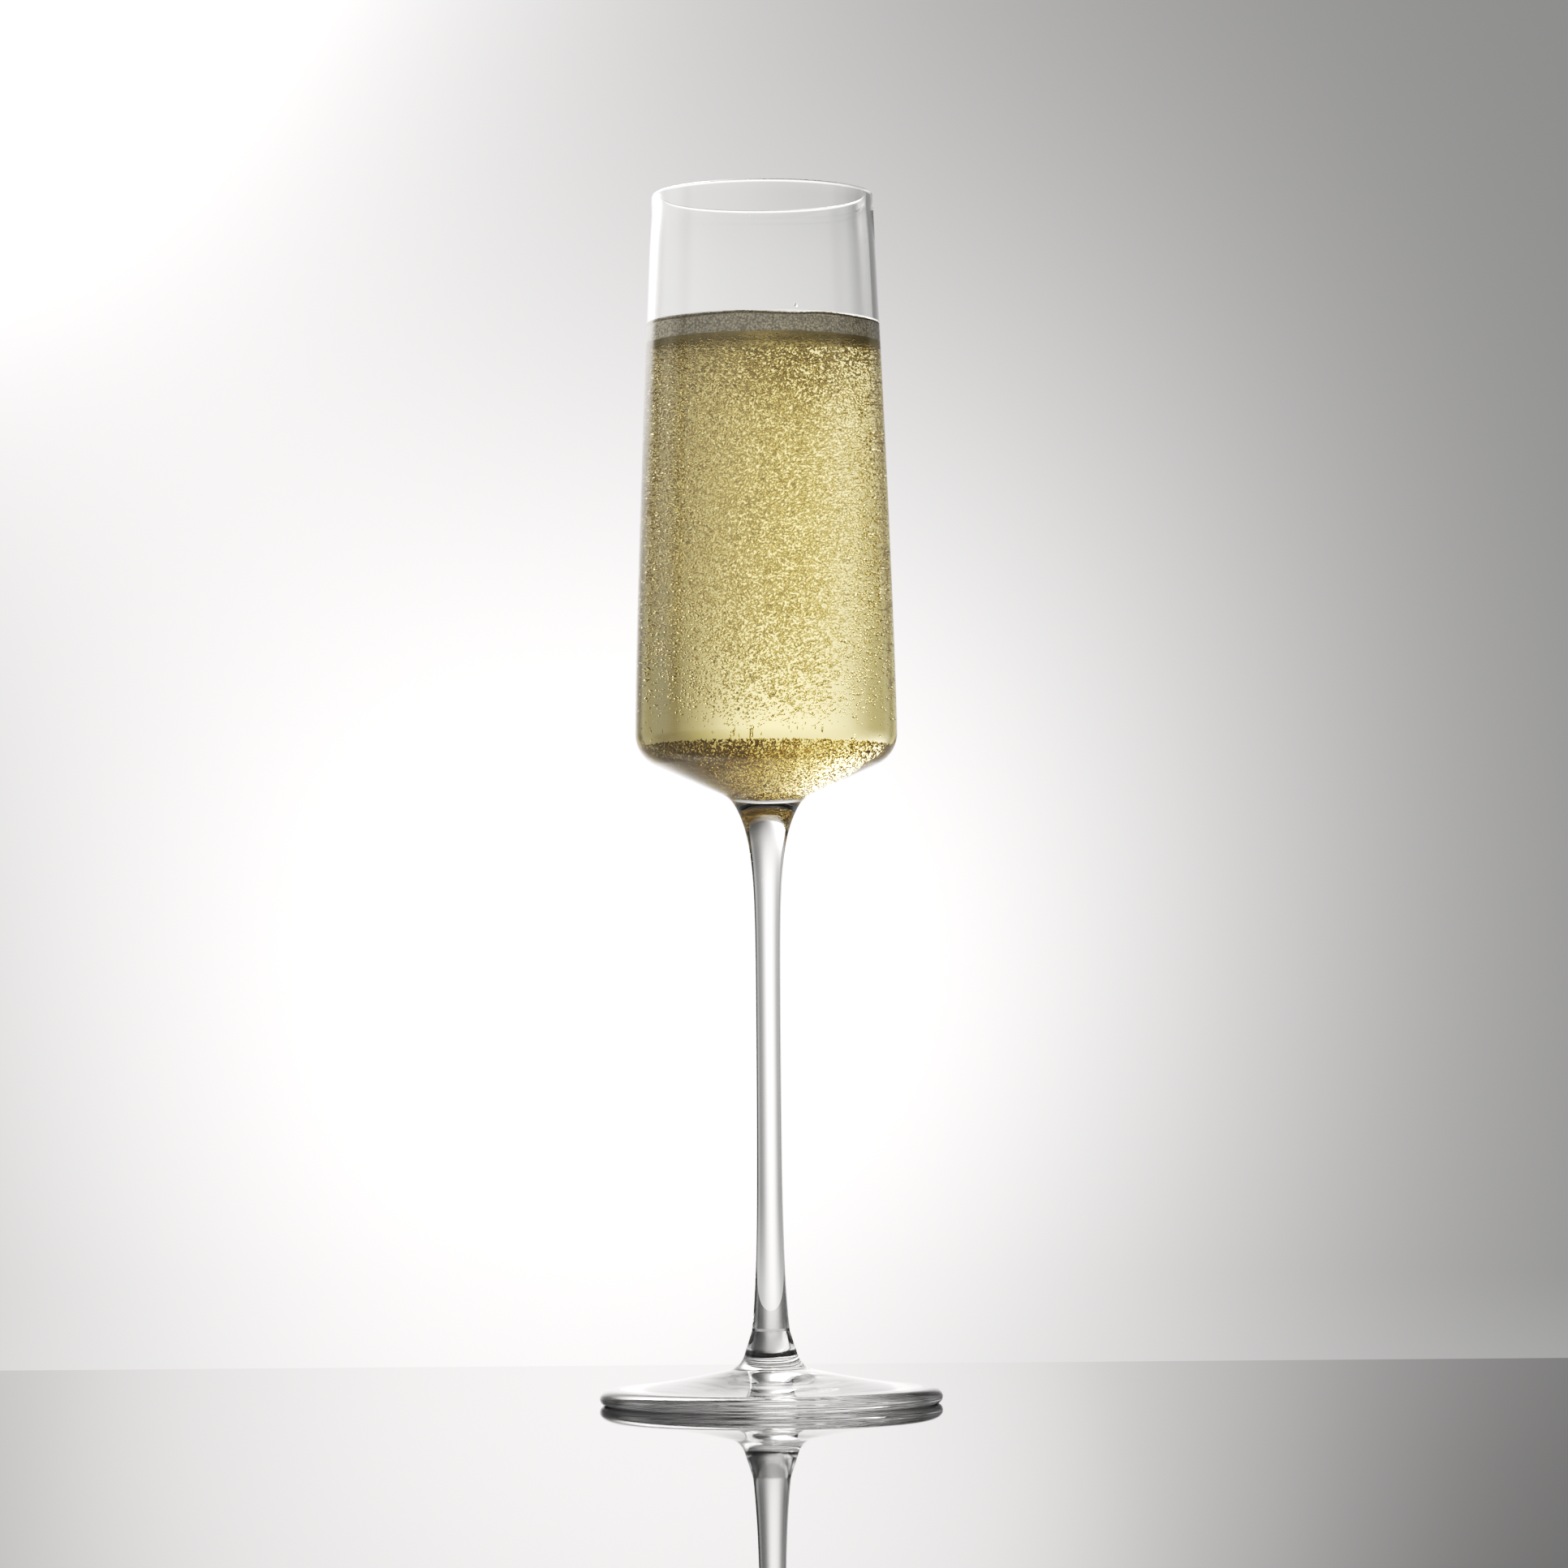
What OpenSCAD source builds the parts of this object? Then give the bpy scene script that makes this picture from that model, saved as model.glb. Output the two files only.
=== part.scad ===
// Stemmed champagne flute, filled, standing on its foot. Millimetres, +Z up.
// The origin is the centre of the circle on which the foot stands.
// Every piece is a body of revolution about the Z axis.

/* [Overall] */
// Height from the table to the top of the rim
glass_h = 250; // [235:1:265]

/* [Bowl] */
// Outer diameter at the rim
rim_d = 45.8; // [43:0.1:48]
// Outer diameter at the widest circle, low on the bowl
belly_d = 54.2; // [52:0.1:58]
// Height of the widest circle above the table
belly_z = 138; // [134:0.5:142]
// How late the side wall bends outward on its way down: 1 is a straight taper
taper_power = 1.27; // [1:0.01:1.6]
// Radius of the round shoulder under the widest circle
shoulder_r = 7.2; // [6:0.1:9]
// Slope of the outside of the conical floor, degrees above level
cone_angle = 24; // [22:0.5:27]
// Slope of the inside of the conical floor, degrees above level
floor_angle = 21.5; // [19:0.5:22]
// Radius of the round bottom of the drink space
floor_r = 12; // [8:0.5:15]
// Wall thickness below the rim
rim_wall = 1.25; // [1:0.05:1.6]
// Wall thickness at the shoulder
belly_wall = 1.45; // [1.3:0.05:1.8]
// Thickness of the polished lip
lip_t = 1.4; // [1.2:0.05:1.7]

/* [Stem] */
// Diameter of the stem before its two flares are added
stem_d = 5.12; // [4.6:0.02:6]
// Height at which the stem is fused to the bowl
bowl_joint_z = 123; // [122.5:0.1:123.4]
// Radius that the upper flare adds at the bowl
top_flare_r = 4.1; // [3.6:0.05:4.4]
// Length over which the upper flare dies away
top_flare_len = 7.1; // [6:0.1:9]
// Height at which the stem is fused to the foot's collar
foot_joint_z = 15; // [13:0.5:17]
// Radius that the lower flare adds at the foot
base_flare_r = 1.38; // [1:0.02:2]
// Length over which the lower flare dies away
base_flare_len = 12; // [8:0.5:16]

/* [Foot] */
// Largest diameter of the foot
foot_d = 70.6; // [66:0.2:76]
// Height of the foot's widest circle above the table
edge_mid_z = 1.45; // [1.2:0.05:1.6]
// Thickness of the foot at its rounded edge
edge_t = 3.35; // [3:0.05:3.8]
// Outer radius of the flat ring that touches the table
contact_r = 34; // [33.2:0.1:34.6]
// Width of that flat ring
contact_w = 3; // [2:0.5:6]
// Rise of the hollow underside at its centre
underside_rise = 1.6; // [0.5:0.1:2.5]
// Radius where the collar's hollow sweep meets the foot's top
collar_foot_r = 8.64; // [8.2:0.02:9.2]
// Height of that meeting circle
collar_foot_z = 7.12; // [6.8:0.02:7.6]
// Radius of the hollow sweep under the collar
sweep_r = 4.2; // [3.6:0.1:4.6]
// Steepness of the collar's side, degrees above level
collar_angle = 72; // [70:0.5:76]

/* [Drink] */
// Height of the champagne's surface above the table
fill_z = 218.8; // [180:0.2:225]
// Depth of the foam on the champagne
foam_t = 4.6; // [2:0.2:10]
// How much the foam's middle stands below its edge at the glass
foam_dish = 0.7; // [0:0.1:1.2]

/* [Hidden] */
$fn = 128;

wall_steps = 14;
arc_steps = 10;
flare_steps = 16;
dish_steps = 6;

rim_r = rim_d / 2;
belly_r = belly_d / 2;
lip_r = lip_t / 2;
lip_z = glass_h - lip_r;
// distance over which the polished lip fades into the wall below it
lip_fade = 2.5;
// the lip's round top starts and ends this far above level, in steps
lip_from = 18;
lip_to = 162;
lip_steps = 8;
// the taper's first circle lies this far above the widest one
taper_start = 8;
shoulder_axis_r = belly_r - shoulder_r;
inner_shoulder_r = shoulder_r - belly_wall;
foot_edge_r = foot_d / 2;
// radius at which the foot's top starts to round over into its edge
edge_round = 3.1;
edge_start_r = foot_edge_r - edge_round;
// the rounded edge leaves the foot's top and underside at these angles
edge_top_angle = 80;
edge_low_angle = -15;
edge_top_steps = 8;
edge_low_steps = 6;
ring_inner_r = contact_r - contact_w;
// how much steeper the foot's top is at the collar than on average
top_bend = 0.47;

function arc(centre, r, from, to, steps) =
    [for (i = [0:steps]) let (a = from + (to - from) * i / steps) centre + r * [cos(a), sin(a)]];

function oval(centre, rx, rz, from, to, steps) =
    [for (i = [0:steps]) let (a = from + (to - from) * i / steps) centre + [rx * cos(a), rz * sin(a)]];

function reversed(list) = [for (i = [len(list) - 1:-1:0]) list[i]];

// Bowl outline -------------------------------------------------------------

// outer radius of the tapering side wall at height z
function wall_r(z) =
    belly_r - (belly_r - rim_r) * pow(max(0, z - belly_z) / (glass_h - belly_z), taper_power);

// wall thickness at height z: thicker to the shoulder, and again at the lip
function wall_t(z) =
    let (up = (z - belly_z) / (glass_h - belly_z))
    belly_wall + (rim_wall - belly_wall) * up
    + (lip_t - rim_wall) * exp(-(lip_z - z) / lip_fade);

function inner_r(z) = wall_r(z) - wall_t(z);

// radius of the stem, and of the flare that carries it into the bowl, at height z
function stem_r(z) =
    stem_d / 2
    + top_flare_r * exp((z - bowl_joint_z) / top_flare_len)
    + base_flare_r * exp(-(z - foot_joint_z) / base_flare_len);

// steepness of the flare where it meets the bowl
joint_r = stem_r(bowl_joint_z);
joint_angle = atan(top_flare_len / top_flare_r);
// a point on the outer cone, where the shoulder ends
cone_top = [shoulder_axis_r + shoulder_r * sin(cone_angle), belly_z - shoulder_r * cos(cone_angle)];
// radius of the hollow blend that touches both the flare and the cone
blend_drop = cone_top[1] - (cone_top[0] - joint_r) * tan(cone_angle) - bowl_joint_z;
blend_r = blend_drop / (cos(cone_angle) - cos(joint_angle)
    - (sin(joint_angle) - sin(cone_angle)) * tan(cone_angle));
blend_axis = [joint_r, bowl_joint_z] + blend_r * [sin(joint_angle), -cos(joint_angle)];

// height levels up the wall, from one height to another
function levels(from, to) = [for (i = [0:wall_steps]) from + (to - from) * i / wall_steps];

function outer_outline() = concat(
    arc(blend_axis, blend_r, 90 + joint_angle, 90 + cone_angle, arc_steps),
    arc([shoulder_axis_r, belly_z], shoulder_r, cone_angle - 90, 0, arc_steps),
    [for (z = levels(belly_z + taper_start, lip_z)) [wall_r(z), z]]
);

// where the inner cone leaves the inner shoulder
floor_top = [
    shoulder_axis_r + inner_shoulder_r * sin(floor_angle),
    belly_z - inner_shoulder_r * cos(floor_angle)
];
// height of the centre of the round bottom, which touches the inner cone
floor_axis_z = floor_top[1] - floor_top[0] * tan(floor_angle) + floor_r / cos(floor_angle);

// inside of the bowl from the bottom of the drink space up to a given height
function inner_outline(top_z) = concat(
    arc([0, floor_axis_z], floor_r, -90, floor_angle - 90, dish_steps),
    arc([shoulder_axis_r, belly_z], inner_shoulder_r, floor_angle - 90, 0, arc_steps),
    [for (z = levels(belly_z + taper_start, top_z)) [inner_r(z), z]]
);

module bowl() {
    lip_axis = [wall_r(lip_z) - lip_r, lip_z];
    color([0.92, 0.95, 0.95, 0.35])
        rotate_extrude()
            polygon(concat(
                [[0, bowl_joint_z]],
                outer_outline(),
                arc(lip_axis, lip_r, lip_from, lip_to, lip_steps),
                reversed(inner_outline(lip_z))
            ));
}

// Stem ---------------------------------------------------------------------

module stem() {
    span = bowl_joint_z - foot_joint_z;
    // rings lie close together in the flares and far apart between them
    heights = [for (i = [0:2 * flare_steps])
        foot_joint_z + span * (1 - cos(180 * i / (2 * flare_steps))) / 2];
    color([0.92, 0.95, 0.95, 0.35])
        rotate_extrude()
            polygon(concat(
                [[0, foot_joint_z]],
                [for (z = heights) [stem_r(z), z]],
                [[0, bowl_joint_z]]
            ));
}

// Foot ---------------------------------------------------------------------

// slope of the foot's top, which flattens evenly from the collar to the edge
function foot_top_z(r) =
    let (
        across = (r - collar_foot_r) / (edge_start_r - collar_foot_r),
        drop = collar_foot_z - edge_t
    )
    collar_foot_z - drop * ((1 + top_bend) * across - top_bend * across * across);

function underside_z(r) = underside_rise * (1 - pow(r / ring_inner_r, 2));

module foot() {
    // the hollow sweep ends level with the steepest part of the foot's top
    top_angle = atan((1 + top_bend) * (collar_foot_z - edge_t) / (edge_start_r - collar_foot_r));
    sweep_axis = [collar_foot_r, collar_foot_z] + sweep_r * [sin(top_angle), cos(top_angle)];
    color([0.92, 0.95, 0.95, 0.35])
        rotate_extrude()
            polygon(concat(
                [[0, foot_joint_z], [stem_r(foot_joint_z), foot_joint_z]],
                arc(sweep_axis, sweep_r, 270 - collar_angle, 270 - top_angle, arc_steps),
                [for (i = [1:arc_steps])
                    let (r = collar_foot_r + (edge_start_r - collar_foot_r) * i / arc_steps)
                    [r, foot_top_z(r)]],
                oval([edge_start_r, edge_mid_z], foot_edge_r - edge_start_r, edge_t - edge_mid_z,
                    edge_top_angle, 0, edge_top_steps),
                oval([contact_r, edge_mid_z], foot_edge_r - contact_r, edge_mid_z,
                    edge_low_angle, -90, edge_low_steps),
                [for (i = [dish_steps:-1:0])
                    let (r = ring_inner_r * i / dish_steps) [r, underside_z(r)]]
            ));
}

// Drink --------------------------------------------------------------------

module champagne() {
    color([0.86, 0.78, 0.45, 0.6])
        rotate_extrude()
            polygon(concat(inner_outline(fill_z), [[0, fill_z]]));
}

// a foam layer whose top is dished a little, so that it climbs the glass
module foam() {
    top_z = fill_z + foam_t;
    foam_top_r = inner_r(top_z);
    color([0.87, 0.86, 0.82, 0.9])
        rotate_extrude()
            polygon(concat(
                [[0, fill_z], [inner_r(fill_z), fill_z]],
                [for (i = [dish_steps:-1:0])
                    let (r = foam_top_r * i / dish_steps)
                    [r, top_z - foam_dish * (1 - pow(r / foam_top_r, 4))]]
            ));
}

bowl();
stem();
foot();
champagne();
foam();
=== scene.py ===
import math

import bmesh
import bpy
import numpy as np
from mathutils import Matrix, Vector, noise


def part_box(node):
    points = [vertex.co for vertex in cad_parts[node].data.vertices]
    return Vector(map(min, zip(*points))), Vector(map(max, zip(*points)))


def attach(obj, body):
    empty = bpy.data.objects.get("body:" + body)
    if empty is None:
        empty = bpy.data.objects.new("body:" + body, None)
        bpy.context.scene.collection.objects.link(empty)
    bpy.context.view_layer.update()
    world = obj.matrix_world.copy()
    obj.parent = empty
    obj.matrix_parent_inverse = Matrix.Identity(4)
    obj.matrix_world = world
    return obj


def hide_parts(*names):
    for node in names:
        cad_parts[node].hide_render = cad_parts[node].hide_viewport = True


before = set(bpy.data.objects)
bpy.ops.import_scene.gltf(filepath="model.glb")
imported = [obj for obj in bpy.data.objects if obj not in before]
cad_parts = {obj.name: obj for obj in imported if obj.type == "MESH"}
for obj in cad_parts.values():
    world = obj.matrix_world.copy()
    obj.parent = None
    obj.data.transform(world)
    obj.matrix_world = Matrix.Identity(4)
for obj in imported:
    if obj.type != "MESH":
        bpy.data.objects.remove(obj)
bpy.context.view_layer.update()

# A filled champagne flute. The outlines of the glass and the drink are read from the CAD nodes,
# smoothed, and turned again as fine meshes, because clear glass shows every facet of a coarse one.

MM = 0.001

# ---------------------------------------------------------------------------- sizes

# Refractive indices of the clear materials
GLASS_IOR = 1.5
WINE_IOR = 1.343

# Where the camera stood: level with the middle of the stem, and tilted up a little
CAMERA_DISTANCE = 1.222
CAMERA_HEIGHT = 0.0743
CAMERA_TILT = math.radians(2.494)
CAMERA_ROLL = math.radians(0.455)
CAMERA_ASIDE = 0.0036  # how far right of the stem the camera aims
CAMERA_REACH = 20  # nothing further away is drawn
FOCAL_LENGTH = 136.0
SENSOR_WIDTH = 36

# The luminous panel behind the glass
PANEL_BEHIND = 0.62
PANEL_HALF_WIDTH = 1.5
PANEL_LOW = -0.8
PANEL_HIGH = 2.2
PANEL_COLOUR = (1, 0.965, 0.955, 1)
# What the panel shows away from its pools of light, and those pools as
# (strength, centre (x, z), spread (x, z)). All of these came out of a least-squares fit to the
# backdrop's brightness, and were not chosen by hand.
PANEL_SHOWS = 0.255
PANEL_POOLS = [
    (0.712, (-0.114, 0.078), (0.193, 0.272)),
    (10.45, (-0.409, 0.907), (0.268, 0.376)),
    (0.426, (0.064, 0.111), (0.135, 0.213)),
]

# The table: its edge between the glass and the panel, and how far it reaches forward and sideways
TABLE_BEHIND = 0.150
TABLE_FRONT = -3.0
TABLE_HALF_WIDTH = 2.5
# Its grey, seen along the surface and from above, and the slants between which it changes
TABLE_GREY_ALONG = 0.01
TABLE_GREY_ABOVE = 0.32
TABLE_SLANT_ALONG = 0.84
TABLE_SLANT_ABOVE = 0.68
# The painted shadow under the foot: a soft dark patch, which fades out between these distances
# from the origin and leaves this part of the grey in its middle
SHADE_FROM = 0.024
SHADE_TO = 0.046
SHADE_LEAVES = 0.12

# How the camera rendered light: scene light and shown light, as on a print with deep shadows and
# soft highlights. The panel and the drink were both judged through this curve.
TONES = [
    (0.0, 0.0), (0.0909, 0.05), (0.144, 0.10), (0.189, 0.15), (0.229, 0.20), (0.30, 0.30),
    (0.427, 0.45), (0.599, 0.60), (0.8235, 0.75), (1.069, 0.85), (1.361, 0.95), (1.526, 1.0),
]
BRIGHTEST = TONES[-1][0]

# The studio's light by direction. AROUND and LEFT_LIGHT go by half of 1 plus the cosine of the
# angle away from straight behind the glass: 0 in front, 1 behind. UPWARD and BELOW go by the
# height of the direction above and below the horizon.
ROOM_LIGHT = 0.27
AROUND = [
    (0.0, 0.9), (0.40, 0.9), (0.47, 0.3), (0.575, 0.3), (0.60, 0.02), (0.79, 0.02),
    (0.83, 0.36), (0.87, 0.36), (0.92, ROOM_LIGHT), (1.0, ROOM_LIGHT),
]
UPWARD = [(0.0, 1.0), (0.30, 1.0), (0.55, 0.3), (1.0, 0.3)]
LEFT_LIGHT = [
    (0.0, 0.0), (0.46, 0.0), (0.62, 1.0), (0.66, 0.9), (0.76, 0.4), (0.82, 0.0), (1.0, 0.0),
]
LEFT_LIGHT_STRENGTH = 1.2
LEFT_OVER_RIGHT = 0.7
BELOW = [(0.0, 0.0), (0.04, 0.0), (0.10, 1.0), (1.0, 1.0)]
BELOW_LIGHT = 0.5
STUDIO_COLOUR = (1, 0.995, 0.99, 1)

# The meshes of the glass and the drink
LATHE_SEGMENTS = 192
CORNER = math.radians(30)  # an outline turns at least this much at a sharp edge
ON_AXIS = 1e-7  # a point nearer to the axis than this lies on it
SAME_HEIGHT = 1e-6  # heights closer than this are one height
CURVE_STEPS = 4  # pieces of smooth curve for one stretch of a CAD outline
STEM_CURVE_STEPS = 3

# The drink stands this far off the glass. Its surface lies a little way up inside the foam, so
# that no film of air shows between the two.
DRINK_GAP = 4e-6
DRINK_IN_FOAM = 0.15 * MM
# Points of the drink and the foam above this height and outside this radius lie on the wall
WALL_ABOVE = 0.138
WALL_OUTSIDE = 0.019
# Points of the drink's surface inside this radius are left out
SURFACE_INSIDE = 0.022

# The foam's mesh: segments around, and rings up its side, in over its top and under it
FOAM_SEGMENTS = 720
FOAM_RINGS_UP = 30
FOAM_RINGS_IN = 70
FOAM_RINGS_UNDER = 30
FOAM_GAP = 8e-6  # between the foam's side and the glass
FOAM_TOP_GAP = 0.1 * MM  # between the foam's top and the glass
# The foam's wavy edge lies this much below its full height on average. The bowl's inside counts
# as wetted up to a little lower.
FOAM_TOP_DROP = 0.2 * MM
FOAM_EDGE = 0.3 * MM
# Rounded cells over its side and top, slow waves in its top, and the cells of painted shade in its
# colour
CELL_SIZE = 0.62 * MM
CELL_DEPTH = 0.16 * MM
WAVE_LENGTH = 11 * MM
WAVE_HEIGHT = 0.28 * MM
CELL_SHADE_SIZE = 0.5 * MM

# The bubbles, in pieces of at most FULL_PIECE balls. A piece of FULL_PIECE balls is as large as
# the export keeps without thinning it out.
SEED = 7
FULL_PIECE = 9900
COARSE, ROUND, FINE = 1, 2, 3  # subdivisions of a ball: 20, 80 or 320 faces
WALL_ROOM = 0.05 * MM  # between a bubble and the bowl's wall
SURFACE_ROOM = 0.3 * MM  # between a bubble and the surface of the drink
# How the rising ones spread: their spread at the bottom and what height adds to it, how much of
# the bowl's width they use at the bottom, and how much commoner small ones are
SPREAD_LOW = 0.0085
SPREAD_MORE = 0.022
WIDTH_LOW = 0.86
SMALL_SKEW = 1.8
# Each kind: name, pieces, bubbles in a piece, smallest and largest radius, lowest height, how
# much they crowd upward (less is more), subdivisions
RISING = [
    ("bubbles_fine", 6, FULL_PIECE, 0.12 * MM, 0.23 * MM, 0.1373, 0.46, COARSE),
    ("bubbles_rising", 2, 1500, 0.2 * MM, 0.34 * MM, 0.1415, 0.8, ROUND),
]
# The layer on the floor: pieces, its upper edge, smallest radius in millimetres and what chance
# adds to it, its gap to the floor, and how thick it is
LAYER_PIECES = 5
LAYER_TOP = 0.1357
LAYER_RADIUS = 0.10
LAYER_RADIUS_MORE = 0.12
LAYER_ROOM = 0.02 * MM
LAYER_DEPTH = 0.8 * MM
# The ones on the wall: number, lowest height and range of heights, smallest radius in
# millimetres and what chance adds to it
WALL_BUBBLES = 60
WALL_BUBBLE_LOW = 0.1385
WALL_BUBBLE_RANGE = 0.070
WALL_BUBBLE_RADIUS = 0.2
WALL_BUBBLE_MORE = 0.25

# One drop that hangs on the inside of the wall, on the near side
DROP_R = 0.38 * MM
DROP_X = 6.6 * MM  # to the right of the middle
DROP_ABOVE_FOAM = 0.7 * MM
DROP_SUNK = 0.8  # its centre lies this part of its radius in front of the wall


# ---------------------------------------------------------------------------- outlines from CAD

def outline(node):
    """The half outline of a turned CAD node as (radius, height) points, from its seam.

    It starts at the end that is further from the axis.
    """
    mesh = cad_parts[node].data
    place = {}
    for vertex in mesh.vertices:
        x, y, z = vertex.co
        if abs(y) < 1e-9 and x > -1e-9:
            place[vertex.index] = (round(max(x, 0), 8), round(z, 8))
    beside = {}
    for edge in mesh.edges:
        a, b = (place.get(i) for i in edge.vertices)
        if a and b and a != b:
            beside.setdefault(a, set()).add(b)
            beside.setdefault(b, set()).add(a)
    ends = sorted((p for p in beside if len(beside[p]) == 1), reverse=True)
    walk = [ends[0]]
    while len(walk) < len(beside):
        walk.append(next(p for p in beside[walk[-1]] if p not in walk[-2:]))
    return without_straights([Vector(p) for p in walk])


def without_straights(points):
    """The points without those that only divide a straight stretch."""
    kept = [points[0]]
    for here, after in zip(points[1:], points[2:]):
        along = (after - kept[-1]).normalized()
        aside = here - kept[-1]
        if abs(along.x * aside.y - along.y * aside.x) > 2e-7:
            kept.append(here)
    return kept + [points[-1]]


def smoothed(points, steps):
    """The outline as a smooth curve through its points, with its sharp corners kept.

    Where a long and a short stretch meet, the curve leaves along the long one.
    """
    runs = [b - a for a, b in zip(points, points[1:])]
    leave, arrive = [runs[0]], []
    for before, after in zip(runs, runs[1:]):
        if before.angle(after) > CORNER:
            arrive.append(before)
            leave.append(after)
        else:
            arrive.append(before + after)
            leave.append(before + after)
    arrive.append(runs[-1])
    curve = []
    for i, run in enumerate(runs):
        tangent_a = leave[i].normalized() * run.length
        tangent_b = arrive[i].normalized() * run.length
        for s in range(steps):
            t = s / steps
            curve.append(
                points[i] * (2 * t**3 - 3 * t**2 + 1)
                + tangent_a * (t**3 - 2 * t**2 + t)
                + points[i + 1] * (3 * t**2 - 2 * t**3)
                + tangent_b * (t**3 - t**2)
            )
    return curve + [points[-1]]


def cut_at(points, height):
    """The outline with a point added wherever it crosses this height."""
    result = [points[0]]
    for a, b in zip(points, points[1:]):
        if (a.y - height) * (b.y - height) < 0:
            result.append(a.lerp(b, (height - a.y) / (b.y - a.y)))
        result.append(b)
    return result


# ---------------------------------------------------------------------------- meshes

def turned(name, points, materials, choose=lambda a, b: 0):
    """A closed mesh turned about Z from an outline. choose(a, b) gives a stretch its material.

    It gets flat ends where the outline stops short of the axis.
    """
    points = list(points)
    if points[0].x > ON_AXIS:
        points.insert(0, Vector((0, points[0].y)))
    if points[-1].x > ON_AXIS:
        points.append(Vector((0, points[-1].y)))
    vertices, rings = [], []
    for r, z in points:
        if r < ON_AXIS:
            rings.append([len(vertices)] * LATHE_SEGMENTS)
            vertices.append((0, 0, z))
            continue
        rings.append(list(range(len(vertices), len(vertices) + LATHE_SEGMENTS)))
        for k in range(LATHE_SEGMENTS):
            a = 2 * math.pi * k / LATHE_SEGMENTS
            vertices.append((r * math.cos(a), r * math.sin(a), z))
    faces, slots = [], []
    for i, (low, high) in enumerate(zip(rings, rings[1:])):
        slot = choose(points[i], points[i + 1])
        for k in range(LATHE_SEGMENTS):
            n = (k + 1) % LATHE_SEGMENTS
            corners = list(dict.fromkeys((low[k], low[n], high[n], high[k])))
            if len(corners) > 2:
                faces.append(corners)
                slots.append(slot)
    return mesh_object(name, vertices, faces, materials, slots)


def mesh_object(name, vertices, faces, materials, slots=None):
    """An object in the scene, smooth but for its sharp edges. slots gives each face its material."""
    mesh = bpy.data.meshes.new(name)
    mesh.from_pydata(vertices, [], faces)
    for material in materials:
        mesh.materials.append(material)
    if slots:
        mesh.polygons.foreach_set("material_index", slots)
    mesh.polygons.foreach_set("use_smooth", [True] * len(mesh.polygons))
    mesh.set_sharp_from_angle(angle=CORNER)
    mesh.update()
    obj = bpy.data.objects.new(name, mesh)
    bpy.context.scene.collection.objects.link(obj)
    return obj


def facing_out(obj):
    """Turns the faces of a closed mesh outward."""
    bm = bmesh.new()
    bm.from_mesh(obj.data)
    if bm.calc_volume(signed=True) < 0:
        bmesh.ops.reverse_faces(bm, faces=bm.faces)
    bm.to_mesh(obj.data)
    bm.free()


def inset(points, distance):
    """The outline moved inward (toward the axis side) by a distance, ends on the axis kept there."""
    moved = []
    for i, p in enumerate(points):
        along = (points[min(i + 1, len(points) - 1)] - points[max(i - 1, 0)]).normalized()
        normal = Vector((-along.y, along.x))
        q = p + normal * distance
        moved.append(Vector((0, q.y)) if p.x < ON_AXIS else q)
    return moved


def ball(subdivisions):
    """Vertices and triangles of a round ball of radius 1, as arrays."""
    bm = bmesh.new()
    bmesh.ops.create_icosphere(bm, subdivisions=subdivisions, radius=1)
    bm.verts.ensure_lookup_table()
    vertices = np.array([v.co for v in bm.verts])
    faces = np.array([[v.index for v in f.verts] for f in bm.faces])
    bm.free()
    return vertices, faces


def spheres(name, centres, radii, subdivisions, material):
    """One mesh with a small ball at every centre."""
    shape, triangles = ball(subdivisions)
    count = len(centres)
    points = (centres[:, None, :] + radii[:, None, None] * shape[None]).reshape(-1, 3)
    faces = (triangles[None] + (np.arange(count) * len(shape))[:, None, None]).reshape(-1)
    total = count * len(triangles)
    mesh = bpy.data.meshes.new(name)
    mesh.vertices.add(len(points))
    mesh.vertices.foreach_set("co", points.ravel())
    mesh.loops.add(len(faces))
    mesh.loops.foreach_set("vertex_index", faces)
    mesh.polygons.add(total)
    mesh.polygons.foreach_set("loop_start", np.arange(0, total * 3, 3))
    mesh.polygons.foreach_set("use_smooth", np.ones(total, dtype=bool))
    mesh.materials.append(material)
    mesh.update(calc_edges=True)
    obj = bpy.data.objects.new(name, mesh)
    bpy.context.scene.collection.objects.link(obj)
    return obj


# ---------------------------------------------------------------------------- nodes

def node(tree, kind, **values):
    """A shader node with constants on its own sockets."""
    made = tree.nodes.new(kind)
    for key, value in values.items():
        made.inputs[key.replace("_", " ")].default_value = value
    return made


def math_node(tree, operation, *values):
    """The output of a math node fed by links or by plain numbers."""
    made = tree.nodes.new("ShaderNodeMath")
    made.operation = operation
    for socket, value in zip(made.inputs, values):
        if isinstance(value, (int, float)):
            socket.default_value = value
        else:
            tree.links.new(value, socket)
    return made.outputs[0]


def vector_node(tree, operation, *values):
    """The outputs of a vector node fed by links or by plain vectors."""
    made = tree.nodes.new("ShaderNodeVectorMath")
    made.operation = operation
    for socket, value in zip(made.inputs, values):
        if isinstance(value, tuple):
            socket.default_value = value
        else:
            tree.links.new(value, socket)
    return made.outputs


def ramp(tree, source, points):
    """The output of a node that turns a number into a grey along straight stretches."""
    made = tree.nodes.new("ShaderNodeValToRGB")
    elements = made.color_ramp.elements
    while len(elements) < len(points):
        elements.new(0.5)
    for element, (place, grey) in zip(elements, points):
        element.position = place
        element.color = (grey, grey, grey, 1)
    tree.links.new(source, made.inputs[0])
    return made.outputs[0]


def set_curve(mapping, channel, points):
    """Puts the points on one channel of a curve."""
    curve = mapping.curves[channel]
    while len(curve.points) < len(points):
        curve.points.new(0.5, 0.5)
    for point, (x, y) in zip(curve.points, points):
        point.location = (x, y)
        point.handle_type = "AUTO_CLAMPED"
    mapping.update()


# ---------------------------------------------------------------------------- materials

def new_material(name):
    material = bpy.data.materials.new(name)
    material.use_nodes = True
    tree = material.node_tree
    tree.nodes.clear()
    output = tree.nodes.new("ShaderNodeOutputMaterial")
    return material, tree, output


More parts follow.
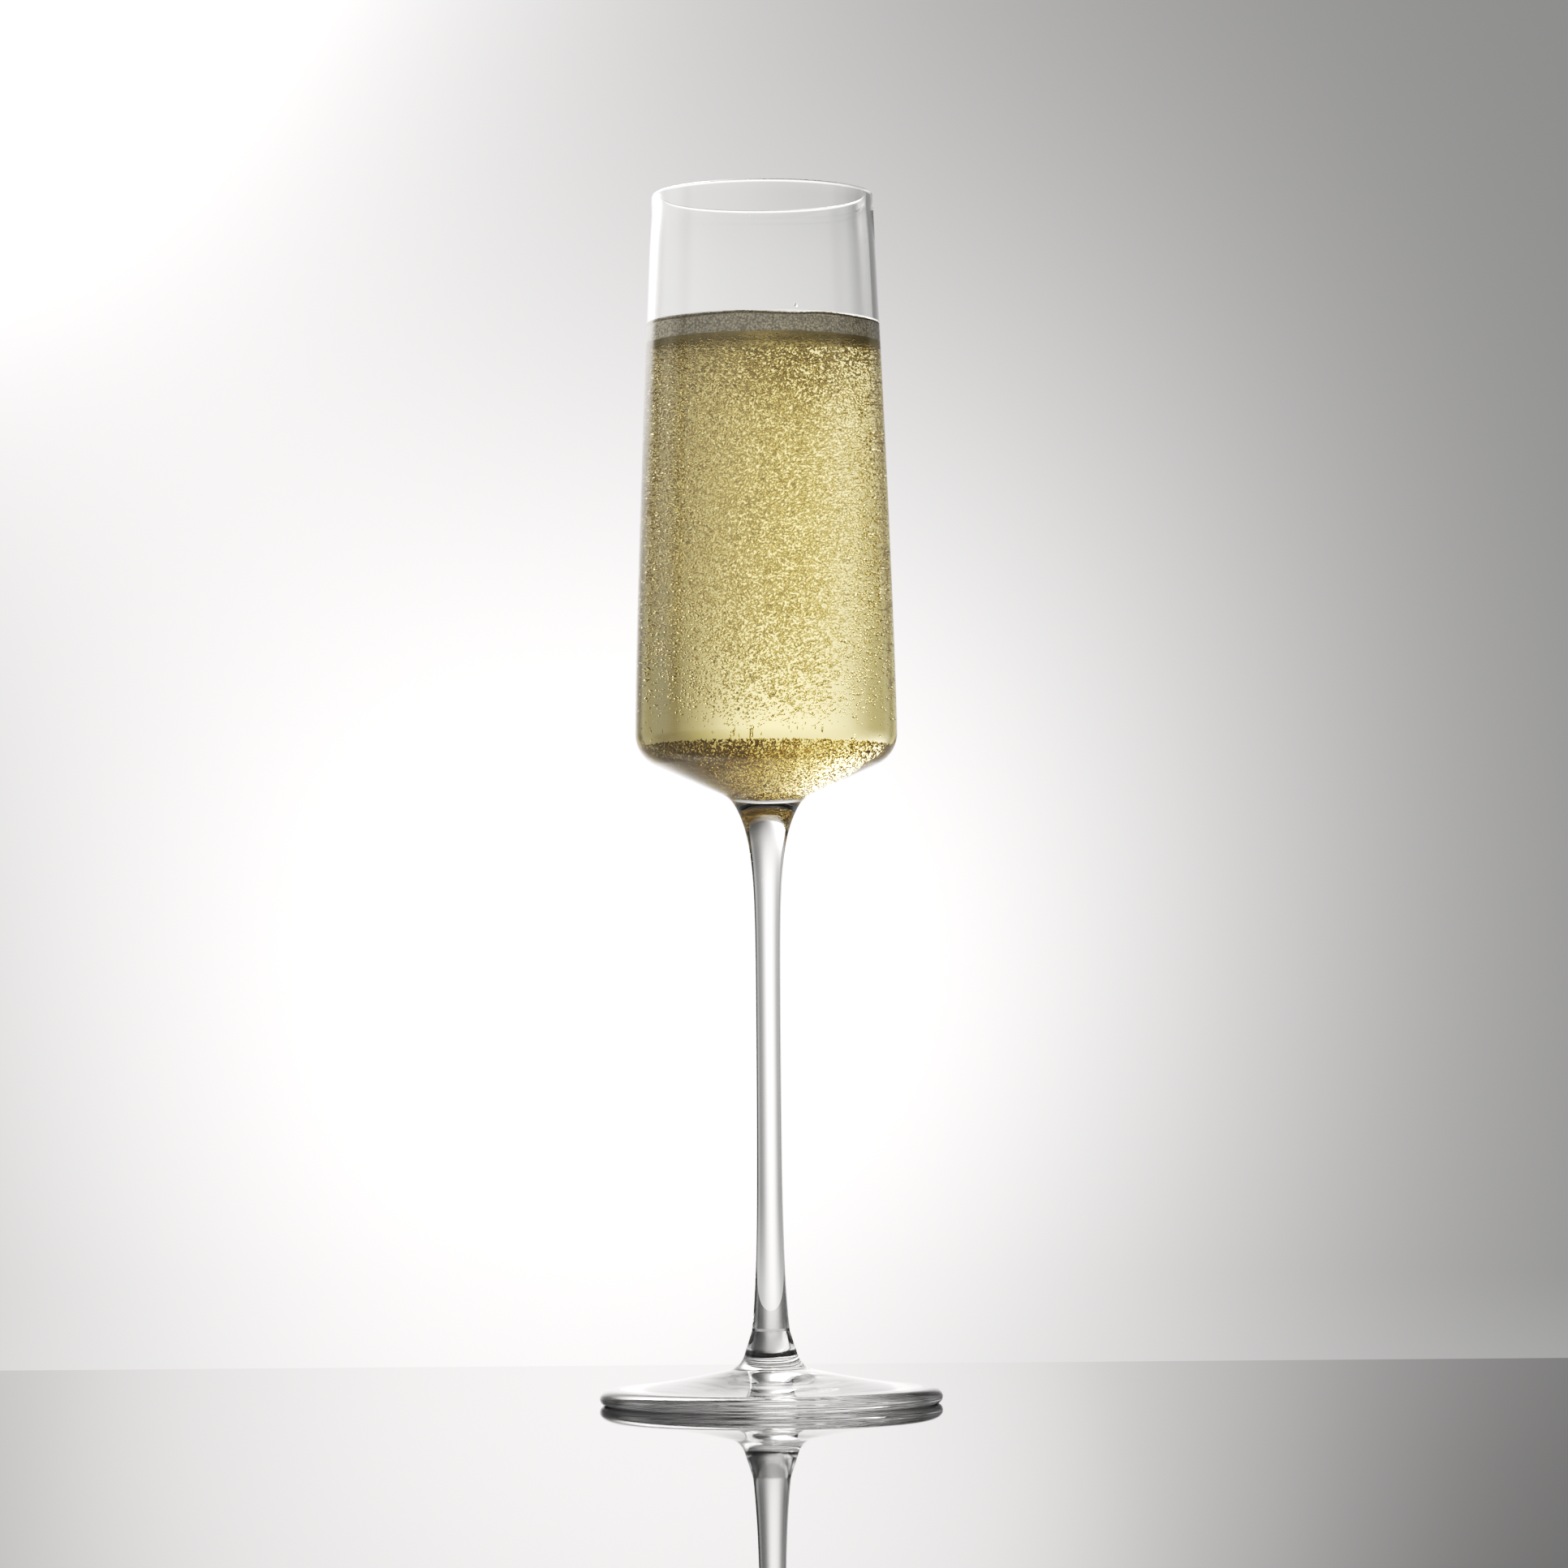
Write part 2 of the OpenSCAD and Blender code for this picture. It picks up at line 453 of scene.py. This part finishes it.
def one_shader(name, kind, **values):
    """A material whose surface is one shader with constant values."""
    material, tree, output = new_material(name)
    shader = node(tree, kind, **values)
    tree.links.new(shader.outputs[0], output.inputs["Surface"])
    return material


def clear_glass(name):
    return one_shader(
        name, "ShaderNodeBsdfPrincipled",
        Base_Color=(0.985, 0.99, 0.985, 1), Roughness=0.0, IOR=GLASS_IOR, Transmission_Weight=1.0,
    )


def contact_face():
    """The face where glass is fused to glass or wetted by the drink: nothing is seen of it."""
    return one_shader("fused_or_wetted", "ShaderNodeBsdfTransparent")


def wine():
    """Champagne against glass: the index is that of wine over that of glass."""
    material, tree, output = new_material("champagne_liquid")
    shader = node(tree, "ShaderNodeBsdfGlass", Roughness=0.0, IOR=WINE_IOR / GLASS_IOR)
    tree.links.new(shader.outputs[0], output.inputs["Surface"])
    depth = node(tree, "ShaderNodeVolumeAbsorption", Color=(0.87, 0.715, 0.0, 1), Density=20.0)
    tree.links.new(depth.outputs[0], output.inputs["Volume"])
    return material


def gas(name, painted_shade):
    """Gas in the drink: the index is that of air over that of wine. Its colour darkens and warms
    what passes through: painted shade for light lost among crowded bubbles.
    """
    return one_shader(
        name, "ShaderNodeBsdfGlass", Color=(*painted_shade, 1), Roughness=0.0, IOR=1 / WINE_IOR,
    )


def drop_liquid():
    """A drop of the drink in air."""
    return one_shader("champagne_drop", "ShaderNodeBsdfGlass", Roughness=0.0, IOR=WINE_IOR)


def foam_body():
    """Wet foam of a cream colour, pale in the middle of each cell and darker towards its edge:
    painted shade between the bubbles.
    """
    material, tree, output = new_material("foam_body")
    shader = node(tree, "ShaderNodeBsdfPrincipled", Roughness=0.3, IOR=WINE_IOR)
    where = tree.nodes.new("ShaderNodeTexCoord")
    cell = node(tree, "ShaderNodeTexVoronoi", Scale=1 / CELL_SHADE_SIZE, Randomness=0.9)
    tree.links.new(where.outputs["Object"], cell.inputs["Vector"])
    # painted shade: the colour darkens from the middle of each cell towards its edge, where the
    # bubbles meet
    painted_shade = tree.nodes.new("ShaderNodeValToRGB")
    pale, dark = painted_shade.color_ramp.elements
    pale.position = 0.05
    pale.color = (1.0, 0.95, 0.80, 1)
    dark.position = 0.75
    dark.color = (0.50, 0.46, 0.36, 1)
    tree.links.new(cell.outputs["Distance"], painted_shade.inputs[0])
    tree.links.new(painted_shade.outputs[0], shader.inputs["Base Color"])
    tree.links.new(shader.outputs[0], output.inputs["Surface"])
    return material


def panel_material():
    """A diffuser lit from behind by soft pools of light, which fades out to nothing."""
    material, tree, output = new_material("diffuser_panel")
    where = tree.nodes.new("ShaderNodeTexCoord").outputs["Object"]
    total = 0
    for strength, centre, spread in PANEL_POOLS:
        shift = vector_node(tree, "SUBTRACT", where, (centre[0], 0, centre[1]))[0]
        scale = vector_node(tree, "MULTIPLY", shift, (1 / spread[0], 0, 1 / spread[1]))[0]
        square = vector_node(tree, "DOT_PRODUCT", scale, scale)["Value"]
        fall = math_node(tree, "POWER", 1 / math.e, square)
        total = math_node(tree, "MULTIPLY_ADD", fall, strength, total)
    # from the light as shown back to the light in the scene, less what shines through the panel
    back = tree.nodes.new("ShaderNodeFloatCurve")
    set_curve(back.mapping, 0, [(d, s / BRIGHTEST) for s, d in TONES])
    tree.links.new(math_node(tree, "ADD", total, PANEL_SHOWS), back.inputs["Value"])
    rise = math_node(tree, "MULTIPLY_ADD", back.outputs[0], BRIGHTEST, -ROOM_LIGHT)
    glow = node(tree, "ShaderNodeEmission", Color=PANEL_COLOUR)
    tree.links.new(math_node(tree, "MAXIMUM", rise, 0.0), glow.inputs["Strength"])
    clear = tree.nodes.new("ShaderNodeBsdfTransparent")
    both = tree.nodes.new("ShaderNodeAddShader")
    tree.links.new(glow.outputs[0], both.inputs[0])
    tree.links.new(clear.outputs[0], both.inputs[1])
    # only its front shines
    side = tree.nodes.new("ShaderNodeNewGeometry")
    one_side = tree.nodes.new("ShaderNodeMixShader")
    tree.links.new(side.outputs["Backfacing"], one_side.inputs[0])
    tree.links.new(both.outputs[0], one_side.inputs[1])
    tree.links.new(clear.outputs[0], one_side.inputs[2])
    tree.links.new(one_side.outputs[0], output.inputs["Surface"])
    return material


def table_material():
    """A polished table: dark seen along its surface, pale seen from above, with a painted shadow
    under the foot.
    """
    material, tree, output = new_material("table_top")
    shader = node(tree, "ShaderNodeBsdfPrincipled", Roughness=0.02, IOR=1.5)
    slant = node(tree, "ShaderNodeLayerWeight", Blend=0.5)
    grey = node(
        tree, "ShaderNodeMapRange",
        From_Min=TABLE_SLANT_ALONG, From_Max=TABLE_SLANT_ABOVE,
        To_Min=TABLE_GREY_ALONG, To_Max=TABLE_GREY_ABOVE,
    )
    tree.links.new(slant.outputs["Facing"], grey.inputs["Value"])
    # a painted shadow: the grey is darkened near the origin, under the foot
    where = tree.nodes.new("ShaderNodeTexCoord")
    away = vector_node(tree, "LENGTH", where.outputs["Object"])["Value"]
    shade = node(
        tree, "ShaderNodeMapRange", From_Min=SHADE_FROM, From_Max=SHADE_TO, To_Min=SHADE_LEAVES,
    )
    shade.interpolation_type = "SMOOTHSTEP"
    tree.links.new(away, shade.inputs["Value"])
    shaded = math_node(tree, "MULTIPLY", grey.outputs[0], shade.outputs[0])
    tree.links.new(shaded, shader.inputs["Base Color"])
    tree.links.new(shader.outputs[0], output.inputs["Surface"])
    return material


# ---------------------------------------------------------------------------- stage

def make_panel():
    panel = mesh_object(
        "stage_panel",
        [
            (-PANEL_HALF_WIDTH, PANEL_BEHIND, PANEL_LOW),
            (PANEL_HALF_WIDTH, PANEL_BEHIND, PANEL_LOW),
            (PANEL_HALF_WIDTH, PANEL_BEHIND, PANEL_HIGH),
            (-PANEL_HALF_WIDTH, PANEL_BEHIND, PANEL_HIGH),
        ],
        [(0, 1, 2, 3)],
        [panel_material()],
    )


def make_table():
    table = mesh_object(
        "stage_table",
        [
            (-TABLE_HALF_WIDTH, TABLE_FRONT, 0), (TABLE_HALF_WIDTH, TABLE_FRONT, 0),
            (TABLE_HALF_WIDTH, TABLE_BEHIND, 0), (-TABLE_HALF_WIDTH, TABLE_BEHIND, 0),
        ],
        [(0, 1, 2, 3)],
        [table_material()],
    )


def make_world():
    """The studio: even behind the panel, with black flags beside it, and bright in front."""
    world = bpy.data.worlds.new("studio")
    bpy.context.scene.world = world
    world.use_nodes = True
    tree = world.node_tree
    way = tree.nodes.new("ShaderNodeTexCoord")
    parts = tree.nodes.new("ShaderNodeSeparateXYZ")
    tree.links.new(way.outputs["Generated"], parts.inputs[0])
    x, y, z = parts.outputs
    level = math_node(tree, "SQRT", math_node(
        tree, "ADD", math_node(tree, "MULTIPLY", x, x), math_node(tree, "MULTIPLY", y, y)))
    cosine = math_node(tree, "DIVIDE", y, math_node(tree, "MAXIMUM", level, 0.001))
    turn = math_node(tree, "MULTIPLY_ADD", cosine, 0.5, 0.5)
    around = ramp(tree, turn, AROUND)
    upward = ramp(tree, z, UPWARD)
    # more light comes from the front left than from the front right
    left = math_node(tree, "MULTIPLY", x, math_node(tree, "MINIMUM", y, 0.0))
    slope = math_node(tree, "MULTIPLY_ADD", left, LEFT_OVER_RIGHT, 1.0)
    sky = math_node(tree, "MULTIPLY", around, upward)
    sky = math_node(tree, "MULTIPLY", sky, slope)
    # a broad soft light stands on the left and outshines the flag there
    on_left = math_node(tree, "LESS_THAN", x, 0.0)
    glow = math_node(tree, "MULTIPLY", ramp(tree, turn, LEFT_LIGHT), LEFT_LIGHT_STRENGTH)
    glow = math_node(tree, "MULTIPLY", glow, on_left)
    sky = math_node(tree, "ADD", sky, math_node(tree, "MULTIPLY", glow, upward))
    # an even light below the horizon, where the table ends
    below = ramp(tree, math_node(tree, "MULTIPLY", z, -1.0), BELOW)
    mix = tree.nodes.new("ShaderNodeMix")
    tree.links.new(below, mix.inputs["Factor"])
    tree.links.new(sky, mix.inputs["A"])
    mix.inputs["B"].default_value = BELOW_LIGHT
    back = tree.nodes["Background"]
    back.inputs["Color"].default_value = STUDIO_COLOUR
    tree.links.new(mix.outputs["Result"], back.inputs["Strength"])


def make_camera():
    data = bpy.data.cameras.new("camera")
    data.sensor_width = SENSOR_WIDTH
    data.lens = FOCAL_LENGTH
    data.clip_end = CAMERA_REACH
    camera = bpy.data.objects.new("camera", data)
    bpy.context.scene.collection.objects.link(camera)
    camera.location = (0, -CAMERA_DISTANCE, CAMERA_HEIGHT)
    look = Vector((CAMERA_ASIDE, CAMERA_DISTANCE, CAMERA_DISTANCE * math.tan(CAMERA_TILT)))
    aim = look.to_track_quat("-Z", "Y").to_matrix().to_4x4()
    camera.matrix_world = (
        Matrix.Translation(camera.location) @ aim @ Matrix.Rotation(-CAMERA_ROLL, 4, "Z")
    )
    bpy.context.scene.camera = camera


def set_up_render():
    scene = bpy.context.scene
    view = scene.view_settings
    view.view_transform = "Standard"
    view.use_curve_mapping = True
    view.curve_mapping.white_level = (BRIGHTEST,) * 3
    set_curve(view.curve_mapping, 3, [(s / BRIGHTEST, d) for s, d in TONES])
    scene.cycles.max_bounces = 32
    scene.cycles.transmission_bounces = 32
    scene.cycles.glossy_bounces = 12
    scene.cycles.transparent_max_bounces = 64
    scene.cycles.use_denoising = True


make_camera()
make_world()
make_panel()
make_table()
set_up_render()


# ---------------------------------------------------------------------------- glass

contact = contact_face()
fill_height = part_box("champagne")[1].z
foam_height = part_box("foam")[1].z
joint_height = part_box("foot")[1].z

bowl_outline = cut_at(smoothed(outline("bowl"), CURVE_STEPS), foam_height - FOAM_EDGE)
rim = max(range(len(bowl_outline)), key=lambda i: bowl_outline[i].y)
inner_points = {id(p) for p in bowl_outline[rim:]}


def bowl_slot(a, b):
    """0 where the bowl meets air, 1 where it is fused to the stem or wetted by the drink."""
    fused = a.x < ON_AXIS or b.x < ON_AXIS and abs(a.y - b.y) < SAME_HEIGHT
    middle = (a + b) / 2
    inside = id(a) in inner_points and id(b) in inner_points
    return int(fused or inside and middle.y < foam_height - FOAM_EDGE)


def stem_slot(a, b):
    """1 on both fused ends of the stem."""
    return int(a.x < ON_AXIS or b.x < ON_AXIS)


def foot_slot(a, b):
    """1 on the face that is fused to the stem."""
    return int(min(a.x, b.x) < ON_AXIS and min(a.y, b.y) > joint_height - SAME_HEIGHT)


bowl = turned("bowl_glass", bowl_outline, [clear_glass("bowl_crystal"), contact], bowl_slot)
facing_out(bowl)
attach(bowl, "root")
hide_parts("bowl")

stem_outline = smoothed(outline("stem"), STEM_CURVE_STEPS)
stem = turned("stem_glass", stem_outline, [clear_glass("stem_crystal"), contact], stem_slot)
facing_out(stem)
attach(stem, "root")
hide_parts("stem")

foot_outline = smoothed(outline("foot"), CURVE_STEPS)
foot = turned("foot_glass", foot_outline, [clear_glass("foot_crystal"), contact], foot_slot)
facing_out(foot)
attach(foot, "root")
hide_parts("foot")


# ---------------------------------------------------------------------------- drink and foam

drink_line = smoothed(list(reversed(outline("champagne"))), CURVE_STEPS)
foam_line = smoothed(outline("foam"), CURVE_STEPS)
wall_z, wall_r = zip(*sorted(
    (p.y, p.x) for p in drink_line + foam_line if p.x > WALL_OUTSIDE and p.y > WALL_ABOVE))


def wall_radius(z):
    """Inner radius of the bowl at a height in the drink or the foam."""
    return float(np.interp(z, wall_z, wall_r))


def on_surface(p):
    """Whether a point of the drink's outline lies on its flat top, away from the glass."""
    return p.y > fill_height - SAME_HEIGHT and p.x < SURFACE_INSIDE


wetted = inset([p for p in drink_line if not on_surface(p)], DRINK_GAP)
surface = Vector((wetted[-1].x, fill_height + DRINK_IN_FOAM))
champagne = turned("champagne_fill", wetted + [surface], [wine()])
facing_out(champagne)
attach(champagne, "root")
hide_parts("champagne")


def cells(x, y, z):
    """Height of rounded foam cells at a point: 1 in a cell's middle, 0 where cells meet."""
    near, _ = noise.voronoi(Vector((x, y, z)) / CELL_SIZE, distance_metric="DISTANCE")
    return max(0.0, 1 - (near[0] / max(near[1], 1e-6)) ** 2)


def wave(x, y):
    """How much the foam's top stands above its mean height, in slow waves."""
    return noise.noise(Vector((x, y, 0)) / WAVE_LENGTH) * WAVE_HEIGHT


def make_foam():
    """The head of foam: a body with one rounded bump per bubble over its side and its top."""
    vertices, faces, rings = [], [], []
    rim_height = foam_height - FOAM_TOP_DROP
    edge = wall_radius(foam_height)
    under_edge = wall_radius(fill_height) - FOAM_GAP
    # how far the middle of the top stands below its edge
    foam_dish = foam_height - min(p.y for p in foam_line if p.y > fill_height + 1 * MM)

    def ring(radius, height, out):
        """Adds a ring; out is the way its bumps stand: (outward, upward)."""
        start = len(vertices)
        for k in range(FOAM_SEGMENTS):
            a = 2 * math.pi * k / FOAM_SEGMENTS
            x, y = radius * math.cos(a), radius * math.sin(a)
            z = height(x, y)
            dent = (1 - cells(x, y, z)) * CELL_DEPTH
            r = radius - out[0] * dent
            vertices.append((r * math.cos(a), r * math.sin(a), z - out[1] * dent))
        rings.append(list(range(start, len(vertices))))

    def top(x, y):
        """Height of the dished top."""
        return rim_height - foam_dish * (1 - (math.hypot(x, y) / edge) ** 4) + wave(x, y)

    # the underside, which lies just inside the drink and is seen through it, then side and top
    for i in range(1, FOAM_RINGS_UNDER):
        ring(under_edge * i / FOAM_RINGS_UNDER, lambda x, y: fill_height, (0, -1))
    for i in range(FOAM_RINGS_UP + 1):
        t = i / FOAM_RINGS_UP
        mean = fill_height + t * (rim_height - fill_height)
        ring(wall_radius(mean) - FOAM_GAP, lambda x, y, t=t, m=mean: m + t * wave(x, y), (1, 0))
    for i in range(1, FOAM_RINGS_IN):
        ring((edge - FOAM_TOP_GAP) * (1 - i / FOAM_RINGS_IN), top, (0, 1))
    centre_low = len(vertices)
    vertices.append((0, 0, fill_height))
    centre_high = len(vertices)
    vertices.append((0, 0, top(0, 0)))
    following = [(k + 1) % FOAM_SEGMENTS for k in range(FOAM_SEGMENTS)]
    for low, high in zip(rings, rings[1:]):
        for k, n in enumerate(following):
            faces.append((low[k], low[n], high[n], high[k]))
    for k, n in enumerate(following):
        faces.append((centre_low, rings[0][n], rings[0][k]))
        faces.append((centre_high, rings[-1][k], rings[-1][n]))
    return mesh_object("foam_head", vertices, faces, [foam_body()])


foam = make_foam()
facing_out(foam)
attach(foam, "root")
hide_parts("foam")


# ---------------------------------------------------------------------------- bubbles

rng = np.random.default_rng(SEED)
# the gas is tinted darker and warmer, most on the floor: painted shade for light lost in the crowd
# of bubbles
loose_gas = gas("gas_bubble", (0.87, 0.85, 0.80))
floor_gas = gas("gas_on_the_floor", (0.77, 0.73, 0.62))

drink_z, drink_r = zip(*sorted((p.y, p.x) for p in wetted if p.x > ON_AXIS))


def room_at(z):
    """Radius of the drink at an array of heights."""
    return np.interp(z, drink_z, drink_r)


def add_bubbles(name, centres, radii, subdivisions, material=loose_gas):
    """One piece of the scene made of many small balls."""
    obj = spheres(name, centres, radii, subdivisions, material)
    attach(obj, "root")


def around_axis(radius, z, angle):
    """Points at a radius, a height and an angle each."""
    return np.stack([radius * np.cos(angle), radius * np.sin(angle), z], 1)


def rising(count, small, large, low, climb):
    """Centres and radii of bubbles spread through the drink, thicker near the top."""
    high = fill_height - SURFACE_ROOM
    tries = count * 4
    height = rng.random(tries) ** climb
    z = low + (high - low) * height
    spread = SPREAD_LOW + SPREAD_MORE * height
    x = rng.normal(0, 1, tries) * spread
    y = rng.normal(0, 1, tries) * spread
    r = small * (large / small) ** (rng.random(tries) ** SMALL_SKEW)
    room = room_at(z) * (WIDTH_LOW + (1 - WIDTH_LOW) * height) - r - WALL_ROOM
    pick = np.flatnonzero((np.hypot(x, y) < room) & (z < high - r))[:count]
    return np.stack([x, y, z], 1)[pick], r[pick]


for name, pieces, count, small, large, low, climb, subdivisions in RISING:
    for k in range(pieces):
        centres, radii = rising(count, small, large, low, climb)
        add_bubbles(f"{name}_{k + 1}", centres, radii, subdivisions)

# the layer that clings to the floor, laid out along the floor's outline from its middle
floor = [p for p in wetted if p.y < LAYER_TOP]
along = np.cumsum([0] + [(b - a).length for a, b in zip(floor, floor[1:])])
floor_x = np.array([p.x for p in floor])
floor_z = np.array([p.y for p in floor])
slope_x = np.gradient(floor_x, along)
slope_z = np.gradient(floor_z, along)
for k in range(LAYER_PIECES):
    s = along[-1] * np.sqrt(rng.random(FULL_PIECE))
    r = (LAYER_RADIUS + LAYER_RADIUS_MORE * rng.random(FULL_PIECE) ** 2) * MM
    lift = r + LAYER_ROOM + LAYER_DEPTH * rng.random(FULL_PIECE) ** 2
    radius = np.interp(s, along, floor_x) - np.interp(s, along, slope_z) * lift
    z = np.interp(s, along, floor_z) + np.interp(s, along, slope_x) * lift
    angle = rng.random(FULL_PIECE) * 2 * math.pi
    add_bubbles(f"bubbles_floor_{k + 1}", around_axis(radius, z, angle), r, COARSE, floor_gas)

# a few larger bubbles that stand alone, low down, and cling to the wall
angle = rng.random(WALL_BUBBLES) * 2 * math.pi
r = (WALL_BUBBLE_RADIUS + WALL_BUBBLE_MORE * rng.random(WALL_BUBBLES) ** 2) * MM
z = WALL_BUBBLE_LOW + WALL_BUBBLE_RANGE * rng.random(WALL_BUBBLES)
add_bubbles("bubbles_on_wall", around_axis(room_at(z) - r - WALL_ROOM, z, angle), r, ROUND)

# the drop on the inside of the wall
drop_reach = wall_radius(foam_height) - DROP_SUNK * DROP_R
drop_centre = (
    DROP_X, -math.sqrt(drop_reach**2 - DROP_X**2), foam_height + DROP_ABOVE_FOAM,
)
add_bubbles("drop_on_wall", np.array([drop_centre]), np.array([DROP_R]), FINE, drop_liquid())
